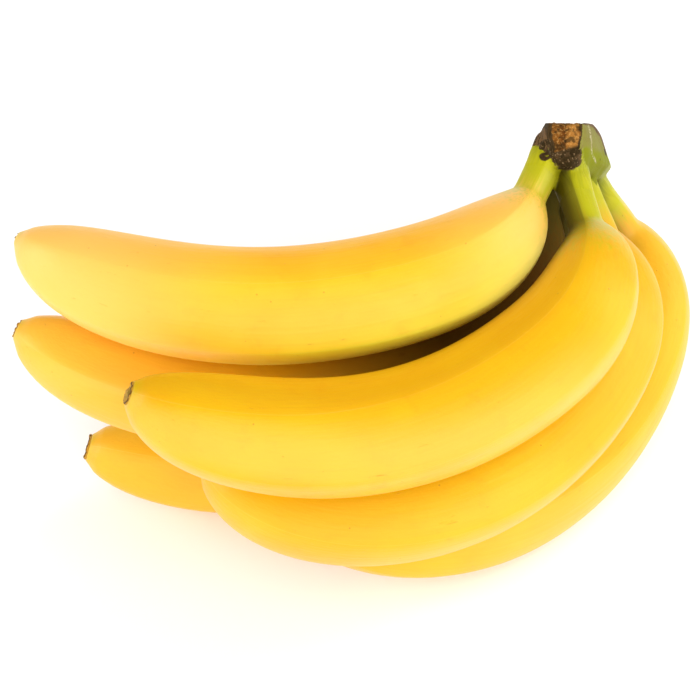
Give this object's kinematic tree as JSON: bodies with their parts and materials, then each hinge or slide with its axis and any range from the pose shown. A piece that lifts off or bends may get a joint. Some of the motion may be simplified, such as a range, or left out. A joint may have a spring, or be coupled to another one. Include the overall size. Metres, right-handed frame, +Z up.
{
  "type": "bunch of bananas",
  "caption": "Bunch of ripe bananas lying on its side, curved five-ridged fruits fanned in layers from one cut crown.",
  "frame": {"origin": "on the surface that the bunch lies on, under the middle of its box", "axes": "+Z up; +X from the fruits' free ends towards the crown's end, the longest way; +Y towards the crown's back, away from the open side of the layers"},
  "size_m": [0.2159, 0.1564, 0.1216],
  "materials": {
    "peel": "smooth, slightly waxy, satin",
    "crown": "dull green rind, dry brown where it was cut",
    "blossom_end": "dry and rough"
  },
  "bodies": {
    "root": {"crown": "crown", "banana_1": "peel", "blossom_end_1": "blossom_end", "banana_2": "peel", "blossom_end_2": "blossom_end", "banana_3": "peel", "blossom_end_3": "blossom_end", "banana_4": "peel", "blossom_end_4": "blossom_end", "banana_5": "peel", "blossom_end_5": "blossom_end", "banana_6": "peel", "blossom_end_6": "blossom_end"}
  },
  "joints": []
}
